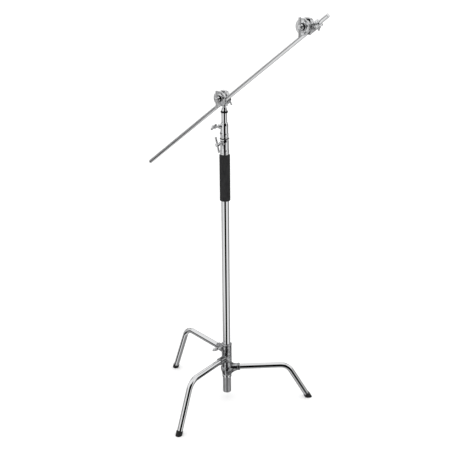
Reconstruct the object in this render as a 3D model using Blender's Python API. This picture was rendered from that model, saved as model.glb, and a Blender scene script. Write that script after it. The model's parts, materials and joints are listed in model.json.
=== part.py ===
"""C-stand: a turtle base with three bent legs, a three-section column, two grip heads and an arm.

Metres, +Z up. The floor is z = 0, and the finished stand is centred over the origin.
The fixed leg points away to the back left (+Y, -X), and the arm rises to the front right.

Frames used below:
  stand    the column's axis is its Z axis
  leg      X runs outwards from the column along one leg, Z is up
  head     Z runs along the receiver sleeve, -Y points through the jaws, X from sleeve to axle
  jaw      the head's frame turned about the axle (its Y) until X runs along the 16 mm groove
"""

import math

import bmesh
import bpy
from mathutils import Matrix, Vector

# ---------------------------------------------------------------- driving dimensions (metres)
GAP = 0.0003  # free space between pieces that touch on the real stand

# Tubes: outside radius and wall of each section
COLUMN_R, RISER_2_R, RISER_3_R = 0.0175, 0.0150, 0.0125
TUBE_WALL = 0.0015
BASE_TUBE_R, BASE_TUBE_BORE = 0.0192, 0.0179
LEG_R, LEG_WALL = 0.0127, 0.0020
ARM_R, ARM_WALL = 0.0080, 0.0015

# Heights of the column's parts
BASE_TUBE_Z = (0.036, 0.252)
COLUMN_Z = (0.0565, 1.238)
RISER_2_Z = (0.090, 1.306)
RISER_3_Z = (0.125, 1.389)
GRIP_Z, GRIP_R = (0.990, 1.1985), 0.0233
LOWER_COLLAR_Z, LOWER_COLLAR_R = (1.1995, 1.2680), 0.0200
UPPER_COLLAR_Z, UPPER_COLLAR_R = (1.2715, 1.3390), 0.0180

# Legs: (height of the leg's line on the column's axis, azimuth) and their common outline
UPPER_LEG, MIDDLE_LEG, LOWER_LEG = (0.2463, 132.0), (0.2123, -124.0), (0.1601, -1.0)
LEG_RISE = math.radians(2.3)
KNEE_REACH, FOOT_REACH, KNEE_BEND_R = 0.285, 0.387, 0.060
LEG_START = 0.0265
SOCKET_END, SOCKET_R = 0.062, 0.0159
HUB_R, HUB_BORE = 0.0235, 0.0196

# Arm: its direction, and how its 1.2 m is shared out on both sides of the first head's axle
ARM_HEADING, ARM_SLOPE = math.radians(-40.0), math.radians(37.7)
ARM_LENGTH, ARM_REACH = 1.200, 0.6425
SECOND_HEAD_FROM_END = 0.091

# Grip head: distances n run from the sleeve's axis through the jaws, along -Y
AXLE_HEIGHT = 1.4521
SLEEVE_TO_AXLE = 0.015
SLEEVE_R, SLEEVE_BELOW, SLEEVE_ABOVE = 0.0145, 0.040, 0.022
RECEIVER_BORE = 0.0084
DISC_R = 0.03175
FLANGE_N = (0.009, 0.020)
JAW_THICK = 0.0090
ROD_BELOW_AXLE = 0.0160
AXLE_R = 0.00475
# Four V grooves, for 16, 12.7, 9.5 and 6.4 mm rods: depth, offset from the axle, turn
GROOVES = ((0.0065, -ROD_BELOW_AXLE, 0), (0.0042, ROD_BELOW_AXLE, 0), (0.0030, -0.0155, 90),
           (0.0020, 0.0155, 90))
# A 16 mm rod lies in a right-angled groove with a little play
ROD_FROM_FACE = (ARM_R + GAP) * math.sqrt(2) - GROOVES[0][0]

ROUND, FINE, SMALL = 24, 16, 10  # sides of large, middling and small turned pieces

# ---------------------------------------------------------------- materials
MATERIALS = {  # colour, roughness, metallic
    "polished_steel": ((0.80, 0.81, 0.83), 0.06, 1.0),
    "cast_chrome": ((0.78, 0.79, 0.80), 0.12, 1.0),
    "satin_steel": ((0.46, 0.47, 0.49), 0.38, 1.0),
    "dark_steel": ((0.10, 0.10, 0.11), 0.35, 1.0),
    "brass": ((0.72, 0.52, 0.22), 0.30, 1.0),
    "black_foam": ((0.022, 0.022, 0.024), 0.90, 0.0),
    "black_rubber": ((0.018, 0.018, 0.020), 0.70, 0.0),
    "black_nylon": ((0.030, 0.030, 0.032), 0.50, 0.0),
}


def material(name):
    """The Principled material of that name, made once."""
    if name in bpy.data.materials:
        return bpy.data.materials[name]
    colour, roughness, metallic = MATERIALS[name]
    made = bpy.data.materials.new(name)
    made.use_nodes = True
    shader = made.node_tree.nodes["Principled BSDF"]
    shader.inputs["Base Color"].default_value = (*colour, 1.0)
    shader.inputs["Roughness"].default_value = roughness
    shader.inputs["Metallic"].default_value = metallic
    return made


# ---------------------------------------------------------------- building tools
def frame(name, parent=None, at=(0, 0, 0), turn=(0, 0, 0)):
    """An empty that carries other pieces."""
    empty = bpy.data.objects.new(name, None)
    empty.empty_display_size = 0.03
    bpy.context.collection.objects.link(empty)
    empty.parent, empty.location, empty.rotation_euler = parent, at, turn
    return empty


def piece(name, bm, slot, parent, at=(0, 0, 0), turn=(0, 0, 0)):
    """A named object made from a bmesh, shaded smooth up to its sharp edges."""
    bmesh.ops.recalc_face_normals(bm, faces=bm.faces)
    mesh = bpy.data.meshes.new(name)
    bm.to_mesh(mesh)
    bm.free()
    mesh.shade_smooth()
    mesh.set_sharp_from_angle(angle=math.radians(35))
    mesh.materials.append(material(slot))
    made = bpy.data.objects.new(name, mesh)
    bpy.context.collection.objects.link(made)
    made.parent, made.location, made.rotation_euler = parent, at, turn
    return made


def boolean(target, operation, bm, at=(0, 0, 0), turn=(0, 0, 0)):
    """Joins a shape to the target or cuts it away, by a modifier with a hidden tool.

    The exact solver leaves a casting open where its rounds share axes and tangents, so a casting uses
    MANIFOLD.
    """
    tool = piece(f"{target.name}.tool.{len(target.modifiers)}", bm, "dark_steel", target, at, turn)
    tool.hide_render, tool.display_type = True, "WIRE"
    modifier = target.modifiers.new(operation.lower(), "BOOLEAN")
    modifier.operation, modifier.object = operation, tool
    if target.name.endswith(("_casting", "_head_body", "_collar")):
        modifier.solver = "MANIFOLD"


def join(target, bm, **place):
    boolean(target, "UNION", bm, **place)


def cut(target, bm, **place):
    boolean(target, "DIFFERENCE", bm, **place)


def turned(profile, sides=FINE):
    """A solid of revolution about Z from (radius, z) points; points on the axis close its ends."""
    bm = bmesh.new()
    verts = [bm.verts.new((radius, 0, z)) for radius, z in profile]
    pairs = zip(verts, verts[1:] + verts[:1])
    edges = [bm.edges.new(pair) for pair in pairs if pair[0].co.x + pair[1].co.x > 0]
    bmesh.ops.spin(bm, geom=verts + edges, axis=(0, 0, 1), cent=(0, 0, 0), steps=sides, angle=math.tau)
    bmesh.ops.remove_doubles(bm, verts=bm.verts, dist=1e-6)
    return bm


def cylinder(radius, low, high, sides=FINE, chamfer=0.0):
    """A solid cylinder on Z, with an optional chamfer at both ends."""
    if not chamfer:
        return turned([(0, low), (radius, low), (radius, high), (0, high)], sides)
    return turned([(0, low), (radius - chamfer, low), (radius, low + chamfer),
                   (radius, high - chamfer), (radius - chamfer, high), (0, high)], sides)


def sleeve(outer, bore, low, high, sides=FINE, chamfer=0.0):
    """A tube on Z, with an optional chamfer on its outer edges."""
    outside = [(outer, low), (outer, high)]
    if chamfer:
        outside = [(outer - chamfer, low), (outer, low + chamfer),
                   (outer, high - chamfer), (outer - chamfer, high)]
    return turned([(bore, low), *outside, (bore, high)], sides)


def plug(flange_r, stub_r, low, shoulder, high, sides=FINE):
    """An end plug: a flange from low to shoulder and a stub up to high."""
    return turned([(0, low), (flange_r - 0.001, low), (flange_r, low + 0.001), (flange_r, shoulder),
                   (stub_r, shoulder), (stub_r, high), (0, high)], sides)


def bar(length, side_y, side_z, centre=(0, 0, 0), twist=0.0):
    """A box along X, twisted about its own length."""
    bm = bmesh.new()
    shape = Matrix.Translation(centre) @ Matrix.Rotation(twist, 4, "X")
    bmesh.ops.create_cube(bm, size=1.0, matrix=shape @ Matrix.Diagonal((length, side_y, side_z, 1)))
    return bm


def slab(outline, thickness):
    """A flat plate of an XZ outline, centred on y = 0."""
    bm = bmesh.new()
    face = bm.faces.new([bm.verts.new((x, -thickness / 2, z)) for x, z in outline])
    risen = bmesh.ops.extrude_face_region(bm, geom=[face], use_keep_orig=True)
    verts = [v for v in risen["geom"] if isinstance(v, bmesh.types.BMVert)]
    bmesh.ops.translate(bm, verts=verts, vec=(0, thickness, 0))
    return bm


def t_handle(prefix, parent, at, turn, stem, head_at, head_r, bar_length, bar_r, tilt, slot,
             axle_hole=None):
    """A screw with a cross bar, on its own frame: Z points outwards along the screw.

    stem is the (radius, z) outline of the screw, which ends at the head; head_at is the bar's height.
    """
    pivot = frame(f"{prefix}_pivot", parent, at, turn)
    screw = piece(f"{prefix}_screw", turned(stem, SMALL), slot, pivot)
    across = (0, math.radians(90), math.radians(tilt))
    cut(screw, cylinder(bar_r + GAP, -2 * head_r, 2 * head_r, SMALL), at=(0, 0, head_at), turn=across)
    if axle_hole:
        cut(screw, cylinder(*axle_hole, SMALL))
    half = bar_length / 2
    piece(f"{prefix}_bar", cylinder(bar_r, -half, half, SMALL, chamfer=0.0015), slot, pivot,
          at=(0, 0, head_at), turn=across)
    return pivot


# ---------------------------------------------------------------- base
def leg_outline(height):
    """Start, knee and floor point of a leg's centre line, in its XZ plane."""
    start = Vector((LEG_START, LEG_START * math.tan(LEG_RISE)))
    knee = Vector((KNEE_REACH, KNEE_REACH * math.tan(LEG_RISE)))
    return start, knee, Vector((FOOT_REACH, -height))


def leg_tube(name, height, parent, azimuth):
    """A hollow tube: straight out of its socket, round the knee and down to the foot."""
    start, knee, floor = leg_outline(height)
    outwards, down = (knee - start).normalized(), (floor - knee).normalized()
    bend = outwards.angle(down)
    tangent = KNEE_BEND_R * math.tan(bend / 2)
    end = floor - down * ((0.006 + LEG_R * down.x) / -down.y)
    centre = knee - outwards * tangent + Vector((outwards.y, -outwards.x)) * KNEE_BEND_R
    # The bend is a chain of straight lengths; each joint between them is mitred, so every side is flat
    steps = 6
    stretch = 1 / math.cos(bend / (2 * steps))
    stations = [(start, 0.0, 1.0)]
    for step in range(steps):
        turn = bend * (step + 0.5) / steps
        spoke = Matrix.Rotation(-turn, 2) @ (knee - outwards * tangent - centre)
        stations.append((centre + spoke * stretch, turn, stretch))
    stations.append((end, bend, 1.0))
    bm = bmesh.new()
    rings = []
    for point, turn, stretch in stations:
        dip = Matrix.Rotation(math.pi / 2 - LEG_RISE + turn, 4, "Y")
        along = Matrix.Translation((point.x, 0, point.y)) @ dip
        pair = []
        for radius in (LEG_R, LEG_R - LEG_WALL):
            angles = [math.tau * side / FINE for side in range(FINE)]
            pair.append([bm.verts.new(along @ Vector((radius * stretch * math.cos(angle),
                                                      radius * math.sin(angle), 0)))
                         for angle in angles])
        rings.append(pair)
    loops = [outer for outer, _ in rings] + [inner for _, inner in reversed(rings)]
    for near, far in zip(loops, loops[1:] + loops[:1]):
        for side in range(FINE):
            after = (side + 1) % FINE
            bm.faces.new((near[side], near[after], far[after], far[side]))
    piece(name, bm, "polished_steel", parent, at=(0, 0, height), turn=(0, 0, math.radians(azimuth)))


def foot_cap(name, height, parent, azimuth):
    """A rubber cup over the tube's end, cut flat where it stands on the floor."""
    _, knee, floor = leg_outline(height)
    down = (floor - knee).normalized()
    reach, drop = down.x, -down.y
    end = (0.006 + LEG_R * reach) / drop
    bm = turned([(0, -0.015), (0.0147, -0.015), (0.0147, 0.019), (0.0138, 0.021), (0.0132, 0.021),
                 (0.0132, end - GAP), (0, end - GAP)], FINE)
    whole = list(bm.verts) + list(bm.edges) + list(bm.faces)
    cutline = bmesh.ops.bisect_plane(bm, geom=whole, plane_co=(0, 0, 0), plane_no=(reach, 0, drop),
                                     clear_inner=True)
    edges = [e for e in cutline["geom_cut"] if isinstance(e, bmesh.types.BMEdge)]
    bmesh.ops.edgeloop_fill(bm, edges=edges)
    turn = Matrix.Rotation(math.radians(azimuth), 4, "Z") @ Matrix.Rotation(-math.asin(reach), 4, "Y")
    at = Matrix.Rotation(math.radians(azimuth), 4, "Z") @ Vector((FOOT_REACH, 0, 0))
    piece(name, bm, "black_rubber", parent, at=at, turn=turn.to_euler())


def leg_casting(name, leg, hub_outline, rib, parent):
    """A hub round the base tube with one leg socket: XZ places are measured from the leg's line."""
    height, azimuth = leg
    casting = piece(name, turned(hub_outline, ROUND), "cast_chrome", parent,
                    at=(0, 0, height), turn=(0, 0, math.radians(azimuth)))
    along = (0, math.pi / 2 - LEG_RISE, 0)
    join(casting, slab(rib, 0.009))
    join(casting, cylinder(SOCKET_R, 0.010, SOCKET_END, FINE, chamfer=0.0012), turn=along)
    join(casting, cylinder(SOCKET_R + 0.0012, SOCKET_END - 0.011, SOCKET_END - 0.004, FINE), turn=along)
    cut(casting, cylinder(LEG_R + 0.0005, LEG_START - 0.001, SOCKET_END + 0.01, FINE), turn=along)
    return casting


def leg(part_name, leg_place, parent):
    height, azimuth = leg_place
    leg_tube(f"{part_name}_leg_tube", height, parent, azimuth)
    foot_cap(f"{part_name}_foot_cap", height, parent, azimuth)


def base(stand):
    low, high = BASE_TUBE_Z
    piece("base_tube", sleeve(BASE_TUBE_R, BASE_TUBE_BORE, low, high, ROUND), "satin_steel", stand)
    cap = plug(BASE_TUBE_R, BASE_TUBE_BORE - 0.0005, low - 0.004, low - GAP, low + 0.012, ROUND)
    piece("base_tube_end_cap", cap, "satin_steel", stand)
    retaining_ring(stand)

    # The upper leg's casting is also the socket that the column stands in
    height = UPPER_LEG[0]
    hub = [(0, -0.0171), (HUB_R - 0.001, -0.0171), (HUB_R, -0.0161), (HUB_R, 0.0355),
           (HUB_R - 0.0025, 0.0400),
           (0, 0.0400)]
    rib = [(0.010, -0.0160), (0.034, -0.0160), (0.060, -0.0090), (0.060, 0.0), (0.036, 0.0170),
           (0.010, 0.0300)]
    socket = leg_casting("base_socket_casting", UPPER_LEG, hub, rib, stand)
    knob_z, knob_azimuth = 0.0205, -155.0 - UPPER_LEG[1]
    outwards = (0, math.pi / 2, math.radians(knob_azimuth))
    join(socket, cylinder(0.0105, 0.010, 0.0320, FINE, chamfer=0.001), at=(0, 0, knob_z), turn=outwards)
    cut(socket, cylinder(HUB_BORE, -0.03, BASE_TUBE_Z[1] + GAP - height, ROUND))
    cut(socket, cylinder(COLUMN_R + 0.0004, -0.01, 0.06, ROUND))
    cut(socket, cylinder(0.0043, 0.010, 0.05, SMALL), at=(0, 0, knob_z), turn=outwards)
    clamp_screw("base_knob", stand, height + knob_z, -155.0, COLUMN_R, 0.0320, 0.058, 0.056, 125.0)
    leg("upper", UPPER_LEG, stand)

    middle = frame("middle_leg_pivot", stand)
    hub = [(0, -0.0160), (HUB_R - 0.001, -0.0160), (HUB_R, -0.0150), (HUB_R, 0.0155),
           (HUB_R - 0.001, 0.0165),
           (0, 0.0165)]
    rib = [(0.010, -0.0155), (0.034, -0.0155), (0.058, -0.0090), (0.058, 0.0), (0.034, 0.0155),
           (0.010, 0.0155)]
    casting = leg_casting("middle_leg_casting", MIDDLE_LEG, hub, rib, middle)
    cut(casting, cylinder(HUB_BORE, -0.03, 0.03, ROUND))
    leg("middle", MIDDLE_LEG, middle)

    lower = frame("lower_leg_pivot", stand)
    hub = [(0, -0.0335), (0.0215, -0.0335), (0.0285, -0.0080), (0.0275, 0.0020), (HUB_R, 0.0070),
           (HUB_R, 0.0345), (HUB_R - 0.001, 0.0355), (0, 0.0355)]
    rib = [(0.010, -0.0325), (0.021, -0.0325), (0.034, -0.0220), (0.056, -0.0120), (0.056, 0.0),
           (0.036, 0.0170),
           (0.010, 0.0330)]
    casting = leg_casting("lower_leg_casting", LOWER_LEG, hub, rib, lower)
    cut(casting, cylinder(HUB_BORE, -0.05, 0.05, ROUND))
    leg("lower", LOWER_LEG, lower)


def retaining_ring(stand):
    """The ring that keeps the two folding legs on the base tube, with its two set screws."""
    low, high, outer = 0.1125, 0.1260, 0.0222
    ring = piece("retaining_ring", sleeve(outer, HUB_BORE, low, high, ROUND, chamfer=0.0012),
                 "cast_chrome", stand)
    for side, azimuth in (("left", -96.0), ("right", -52.0)):
        middle = (0, 0, (low + high) / 2)
        outwards = (0, math.pi / 2, math.radians(azimuth))
        cut(ring, cylinder(0.0031, 0.015, 0.03, SMALL), at=middle, turn=outwards)
        piece(f"retaining_screw_{side}", cylinder(0.0027, BASE_TUBE_R + GAP, outer - 0.0006, 12),
              "dark_steel",
              stand, at=middle, turn=outwards)


def clamp_screw(prefix, parent, z, azimuth, tube_r, boss_end, bar_at, bar_length, tilt):
    """A T-handled screw that presses a brass shoe against a tube of radius tube_r."""
    shoe = tube_r + GAP
    outwards = (0, math.pi / 2, math.radians(azimuth))
    piece(f"{prefix}_brake_shoe", cylinder(0.0039, shoe, shoe + 0.0030, SMALL), "brass", parent,
          at=(0, 0, z), turn=outwards)
    tip = shoe + 0.0030 + GAP
    stem = [(0, tip), (0.0038, tip), (0.0038, boss_end + 0.0010), (0.0062, boss_end + 0.0010),
            (0.0062, boss_end + 0.0050), (0.0046, boss_end + 0.0070), (0.0046, bar_at - 0.0095),
            (0.0078, bar_at - 0.0065), (0.0078, bar_at + 0.0055), (0.0060, bar_at + 0.0078),
            (0, bar_at + 0.0078)]
    return t_handle(prefix, parent, (0, 0, z), outwards, stem, bar_at, 0.0078, bar_length, 0.0045, tilt,
                    "cast_chrome")


# ---------------------------------------------------------------- column
def tube_collar(name, parent, z_range, outer, lower_r, upper_r, step_z, boss, slot="cast_chrome"):
    """A clamp collar: it is fixed on the tube below and grips the thinner tube that slides in it."""
    low, high = z_range
    boss_z, azimuth, boss_end = boss
    outline = [(0, low), (outer - 0.0012, low), (outer, low + 0.0012), (outer, low + 0.018),
               (outer - 0.0010, low + 0.020), (outer - 0.0010, high - 0.012),
               (outer - 0.0022, high - 0.003),
               (outer - 0.0036, high), (0, high)]
    collar = piece(name, turned(outline, ROUND), slot, parent)
    outwards = (0, math.pi / 2, math.radians(azimuth))
    join(collar, cylinder(0.0095, 0.008, boss_end, FINE, chamfer=0.001), at=(0, 0, boss_z),
         turn=outwards)
    cut(collar, cylinder(lower_r + 0.0004, low - 0.01, step_z, ROUND))
    cut(collar, cylinder(upper_r + 0.0004, low - 0.02, high + 0.01, ROUND))
    cut(collar, cylinder(0.0043, 0.008, boss_end + 0.02, SMALL), at=(0, 0, boss_z), turn=outwards)
    return collar


def column(stand):
    body = frame("column_frame", stand)
    low, high = COLUMN_Z
    bore = COLUMN_R - TUBE_WALL
    piece("column_tube", sleeve(COLUMN_R, bore, low, high, ROUND), "polished_steel", body)
    piece("column_bottom_plug", plug(COLUMN_R, bore - 0.0005, low - 0.008, low - GAP, low + 0.012,
                                     ROUND),
          "black_nylon", body)
    low, high = GRIP_Z
    piece("foam_grip", sleeve(GRIP_R, COLUMN_R + 0.0004, low, high, ROUND, chamfer=0.0022),
          "black_foam", body)
    boss_z, azimuth, boss_end = 1.2520, -128.0, 0.0285
    tube_collar("lower_collar", body, LOWER_COLLAR_Z, LOWER_COLLAR_R, COLUMN_R, RISER_2_R,
                COLUMN_Z[1] + GAP, (boss_z, azimuth, boss_end))
    clamp_screw("lower_collar_handle", body, boss_z, azimuth, RISER_2_R, boss_end, 0.0500, 0.068, 15.0)
    top = LOWER_COLLAR_Z[1]
    piece("lower_collar_ring", sleeve(LOWER_COLLAR_R - 0.0002, RISER_2_R + 0.0005, top + GAP,
                                      top + 0.0032, ROUND),
          "black_nylon", body)
    return body


def riser_2(carrier):
    body = frame("riser_2_frame", carrier)
    low, high = RISER_2_Z
    bore = RISER_2_R - TUBE_WALL
    piece("riser_2_tube", sleeve(RISER_2_R, bore, low, high, ROUND), "polished_steel", body)
    piece("riser_2_bottom_plug", plug(0.0156, bore - 0.0005, low - 0.012, low - GAP, low + 0.012,
                                      ROUND),
          "black_nylon", body)
    boss_z, azimuth, boss_end = 1.3240, -160.0, 0.0265
    collar = tube_collar("upper_collar", body, UPPER_COLLAR_Z, UPPER_COLLAR_R, RISER_2_R, RISER_3_R,
                         RISER_2_Z[1] + GAP, (boss_z, azimuth, boss_end))
    clamp_screw("upper_collar_handle", body, boss_z, azimuth, RISER_3_R, boss_end, 0.0480, 0.066, 120.0)
    # A set screw through a small boss holds the collar on its tube
    screw_z, screw_azimuth = 1.2950, -150.0
    outwards = (0, math.pi / 2, math.radians(screw_azimuth))
    join(collar, cylinder(0.0065, 0.016, 0.0200, SMALL), at=(0, 0, screw_z), turn=outwards)
    cut(collar, cylinder(0.0034, 0.013, 0.03, SMALL), at=(0, 0, screw_z), turn=outwards)
    piece("upper_collar_set_screw", cylinder(0.0030, RISER_2_R + GAP, 0.0192, 12), "dark_steel", body,
          at=(0, 0, screw_z), turn=outwards)
    return body


def riser_3(carrier):
    body = frame("riser_3_frame", carrier)
    low, high = RISER_3_Z
    bore = RISER_3_R - TUBE_WALL
    piece("riser_3_tube", sleeve(RISER_3_R, bore, low, high, ROUND), "polished_steel", body)
    piece("riser_3_bottom_plug", plug(0.0130, bore - 0.0005, low - 0.012, low - GAP, low + 0.012,
                                      ROUND),
          "black_nylon", body)
    piece("riser_3_top_ring", sleeve(0.0155, RISER_3_R + 0.0004, high - 0.007, high + 0.001, ROUND,
                                     chamfer=0.001),
          "dark_steel", body)
    stud = [(0, high - 0.040), (bore - 0.0005, high - 0.040), (bore - 0.0005, high + GAP),
            (0.0124, high + GAP), (0.0124, high + 0.004), (0.0095, high + 0.016), (ARM_R, high + 0.018),
            (ARM_R, high + 0.0790), (ARM_R - 0.001, high + 0.0800), (0, high + 0.0800)]
    piece("baby_stud", turned(stud, FINE), "polished_steel", body)
    return body


# ---------------------------------------------------------------- grip heads
def grip_head(prefix, carrier, at, turn, jaw_turn, bar_tilt):
    """The casting with its receiver sleeve; the two jaws turn on the axle in front of it."""
    body = frame(f"{prefix}_frame", carrier, at, turn)
    forwards = (math.pi / 2, 0, 0)  # Z of a turned piece points along -Y, through the jaws
    near, far = FLANGE_N
    axle_at = (SLEEVE_TO_AXLE, 0, 0)

    flange = [(0, -0.0150), (0.0115, -0.0150), (0.0125, -0.0140), (0.0130, near - 0.004),
              (0.0200, near),
              (DISC_R - 0.001, near), (DISC_R, near + 0.001), (DISC_R, far - 0.001),
              (DISC_R - 0.001, far), (0, far)]
    casting = piece(f"{prefix}_body", turned(flange, ROUND), "cast_chrome", body, at=axle_at,
                    turn=forwards)
    # Places in the casting's own frame: x as the head's, y along the head's Z, z along the head's -Y
    sleeve_at, up = (-SLEEVE_TO_AXLE, 0, 0), (-math.pi / 2, 0, 0)
    join(casting, cylinder(SLEEVE_R, -SLEEVE_BELOW, SLEEVE_ABOVE, FINE, chamfer=0.001), at=sleeve_at,
         turn=up)
    screw_y, screw_at = -0.020, (-SLEEVE_TO_AXLE, -0.020, 0)
    join(casting, cylinder(0.0088, -0.0215, -0.006, FINE, chamfer=0.001), at=screw_at)
    cut(casting, cylinder(RECEIVER_BORE, -0.06, 0.06, FINE), at=sleeve_at, turn=up)
    cut(casting, cylinder(0.0036, -0.03, 0, SMALL), at=screw_at)
    cut(casting, cylinder(AXLE_R + 0.0005, -0.03, 0.03, SMALL))

    # Receiver screw, on the side away from the jaws
    tip = ARM_R + 0.0004
    stem = [(0, tip), (0.0031, tip), (0.0031, 0.0225), (0.0052, 0.0225), (0.0052, 0.0255),
            (0.0036, 0.0270),
            (0.0036, 0.0290), (0.0062, 0.0310), (0.0062, 0.0400), (0.0048, 0.0415), (0, 0.0415)]
    t_handle(f"{prefix}_receiver", body, (0, 0, screw_y), (-math.pi / 2, 0, 0), stem, 0.0355, 0.0062,
             0.050,
             0.0036, 62.0, "cast_chrome")
    jaws(prefix, body, axle_at, jaw_turn, bar_tilt)
    return body


def jaw_plate(name, parent, face_n, outwards, boss_r=0.0, boss_height=0.0):
    """A grooved disc whose gripping face is at face_n and looks towards outwards (+1 or -1)."""
    back = face_n - outwards * JAW_THICK
    rim = 0.0012
    outline = [(0, face_n), (DISC_R - rim, face_n), (DISC_R, face_n - outwards * rim),
               (DISC_R, back + outwards * rim), (DISC_R - rim, back)]
    if boss_height:
        raised = back - outwards * boss_height
        outline += [(boss_r + 0.0015, back), (boss_r, raised), (0, raised)]
    else:
        outline += [(0, back)]
    plate = piece(name, turned(outline, ROUND), "cast_chrome", parent, turn=(math.pi / 2, 0, 0))
    for depth, offset, turn in GROOVES:
        side = depth * math.sqrt(2)
        cut(plate, bar(3 * DISC_R, side, side, centre=(0, offset, 0), twist=math.radians(45)),
            at=(0, 0, face_n), turn=(0, 0, math.radians(turn)))
    cut(plate, cylinder(AXLE_R + 0.0005, 0, 0.08, SMALL))
    return plate


def jaws(prefix, body, axle_at, jaw_turn, bar_tilt):
    """Everything that turns on the axle: two grooved plates, spring, washer, bolt and T-handle."""
    turning = frame(f"{prefix}_jaw_frame", body, axle_at, (0, jaw_turn, 0))
    inner_face = FLANGE_N[1] + 2 * GAP + JAW_THICK
    outer_face = inner_face + 2 * ROD_FROM_FACE
    boss = 0.0020
    jaw_plate(f"{prefix}_inner_jaw", turning, inner_face, +1)
    jaw_plate(f"{prefix}_outer_jaw", turning, outer_face, -1, boss_r=0.0180, boss_height=boss)
    washer = outer_face + JAW_THICK + boss + GAP
    forwards = (math.pi / 2, 0, 0)
    piece(f"{prefix}_thrust_washer", sleeve(0.0140, AXLE_R + 0.0005, washer, washer + 0.0020, FINE),
          "dark_steel",
          turning, turn=forwards)
    hub = washer + 0.0020 + GAP
    bar_at = hub + 0.0125
    bolt_end = hub + 0.0068  # stays engaged while the jaw opens
    bolt = [(0, -0.0215), (0.0075, -0.0215), (0.0088, -0.0202), (0.0088, -0.0153), (AXLE_R, -0.0153),
            (AXLE_R, bolt_end), (0, bolt_end)]
    piece(f"{prefix}_axle_bolt", turned(bolt, SMALL), "polished_steel", turning, turn=forwards)
    jaw_spring(f"{prefix}_jaw_spring", turning, inner_face + 0.0009, outer_face - 0.0009)
    stem = [(0, hub), (0.0100, hub), (0.0112, hub + 0.0012), (0.0112, hub + 0.0035),
            (0.0088, bar_at - 0.0060),
            (0.0088, bar_at + 0.0055), (0.0068, bar_at + 0.0080), (0, bar_at + 0.0080)]
    t_handle(f"{prefix}_handle", turning, (0, 0, 0), forwards, stem, bar_at, 0.0088, 0.074, 0.0048,
             bar_tilt,
             "cast_chrome", axle_hole=(AXLE_R + 0.0004, hub - 0.002, bolt_end + GAP))
    return turning


def jaw_spring(name, parent, low, high):
    """An open coil round the axle that pushes the jaws apart."""
    wire, mean_r, turns, per_turn = 0.0006, 0.0064, 2.5, 10
    steps = int(turns * per_turn)
    travel = high - low - 2 * wire
    bm = bmesh.new()
    rings = []
    for step in range(steps + 1):
        share = step / steps
        angle = math.tau * turns * share
        at = (mean_r * math.cos(angle), mean_r * math.sin(angle), low + wire + travel * share)
        pose = Matrix.Translation(at) @ Matrix.Rotation(angle, 4, "Z") @ Matrix.Rotation(math.pi / 2,
                                                                                         4, "X")
        made = bmesh.ops.create_circle(bm, segments=5, radius=wire, matrix=pose)
        rings.append(list({edge for vert in made["verts"] for edge in vert.link_edges}))
    for near, far in zip(rings, rings[1:]):
        bmesh.ops.bridge_loops(bm, edges=near + far)
    for end in (rings[0], rings[-1]):
        bmesh.ops.edgeloop_fill(bm, edges=end)
    piece(name, bm, "satin_steel", parent, turn=(math.pi / 2, 0, 0))


# ---------------------------------------------------------------- arm
def arm(carrier):
    """The 16 mm tube in the first head's jaws; the frame's Z runs up along it."""
    rod_n = FLANGE_N[1] + 2 * GAP + JAW_THICK + ROD_FROM_FACE
    body = frame("arm_frame", carrier, at=(0, -rod_n, -ROD_BELOW_AXLE), turn=(0, math.pi / 2, 0))
    low, high = ARM_REACH - ARM_LENGTH + 0.002, ARM_REACH - 0.002
    bore = ARM_R - ARM_WALL
    piece("arm_tube", sleeve(ARM_R, bore, low, high, FINE), "polished_steel", body)
    for name, at, turn in (("arm_lower_end_plug", low, 0), ("arm_upper_end_plug", high, math.pi)):
        piece(name, plug(ARM_R, bore - 0.0005, -0.002, -GAP, 0.012), "polished_steel", body,
              at=(0, 0, at), turn=(turn, 0, 0))
    return body


# ---------------------------------------------------------------- whole stand
def centre_over_origin(stand):
    """Moves the whole stand so that its bounding box is centred over the origin in X and Y."""
    bpy.context.view_layer.update()
    depsgraph = bpy.context.evaluated_depsgraph_get()
    points = []
    for made in bpy.data.objects:
        if made.type == "MESH" and not made.hide_render:
            shape = made.evaluated_get(depsgraph)
            points += [shape.matrix_world @ vert.co for vert in shape.data.vertices]
    for axis in (0, 1):
        values = [point[axis] for point in points]
        stand.location[axis] -= (min(values) + max(values)) / 2
    bpy.context.view_layer.update()


def main():
    for old in list(bpy.data.objects):
        bpy.data.objects.remove(old, do_unlink=True)
    stand = frame("stand")
    base(stand)
    top = riser_3(riser_2(column(stand)))
    # The first head stands on the stud, its jaws turned to the arm's slope
    first = grip_head("first_head", top, (0, 0, AXLE_HEIGHT), (0, 0, ARM_HEADING), -ARM_SLOPE,
                      90.0 - math.degrees(ARM_SLOPE))
    jaw_frame = next(child for child in first.children if child.name == "first_head_jaw_frame")
    rod = arm(jaw_frame)
    # The second head rides near the arm's upper end, its sleeve pointing down towards that end
    grip_head("second_head", rod, (0, 0, ARM_REACH - SECOND_HEAD_FROM_END), (0, math.pi, 0),
              ARM_SLOPE, 0.0)
    centre_over_origin(stand)


main()
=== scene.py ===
"""Looks for the C-stand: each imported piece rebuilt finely, in soft studio light, with its camera.

Metres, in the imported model's frame: +Z up, the floor at z = 0.
"""

import json
import math

import bpy
import numpy as np
from mathutils import Matrix, Vector


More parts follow.
